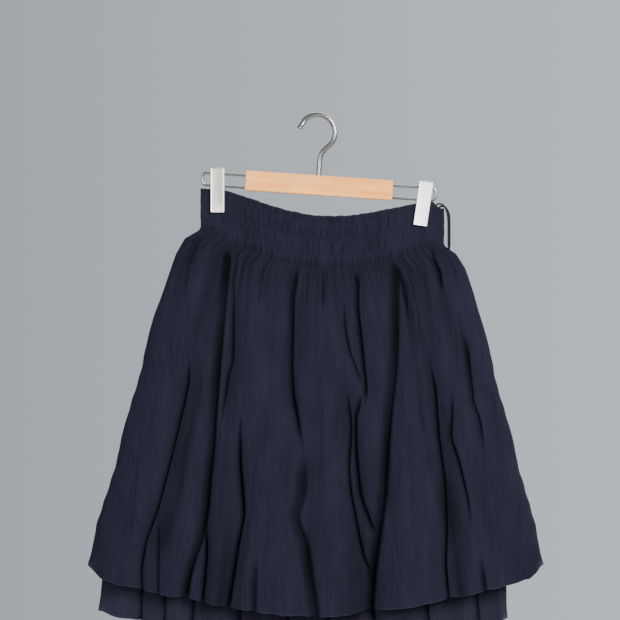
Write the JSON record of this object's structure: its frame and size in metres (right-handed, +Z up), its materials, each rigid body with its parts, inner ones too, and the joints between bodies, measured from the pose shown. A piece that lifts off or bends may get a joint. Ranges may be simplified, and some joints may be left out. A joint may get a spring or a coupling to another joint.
{
  "type": "flared skirt on a clip hanger",
  "caption": "Two-layer flared gauze skirt with a shirred elastic waist, held by the two clips of a wooden trouser hanger.",
  "frame": {"origin": "the crest of the hook's bend, on its inner side, where it hangs on a rail or wall hook", "axes": "+Z up, against the way it hangs; +X to the right as seen from the front; the front faces -Y"},
  "size_m": [0.6377, 0.1009, 0.7346],
  "materials": {
    "gauze": "matte crinkled cotton gauze, navy",
    "cord": "matte black braided cord",
    "wood": "clear satin varnish on pale beech",
    "steel": "satin nickel plate",
    "rubber": "matte grey grip pads"
  },
  "bodies": {
    "root": {"waist_front": "gauze", "waist_back": "gauze", "outer_front": "gauze", "outer_back": "gauze", "under_front": "gauze", "under_back": "gauze", "hanging_loop": "cord", "bar": "wood", "hook": "steel", "wire_left": "steel", "wire_right": "steel", "clip_left_front": "steel", "clip_left_back": "steel", "core_left": "steel", "pad_left_front": "rubber", "pad_left_back": "rubber", "clip_right_front": "steel", "clip_right_back": "steel", "core_right": "steel", "pad_right_front": "rubber", "pad_right_back": "rubber"}
  },
  "joints": []
}
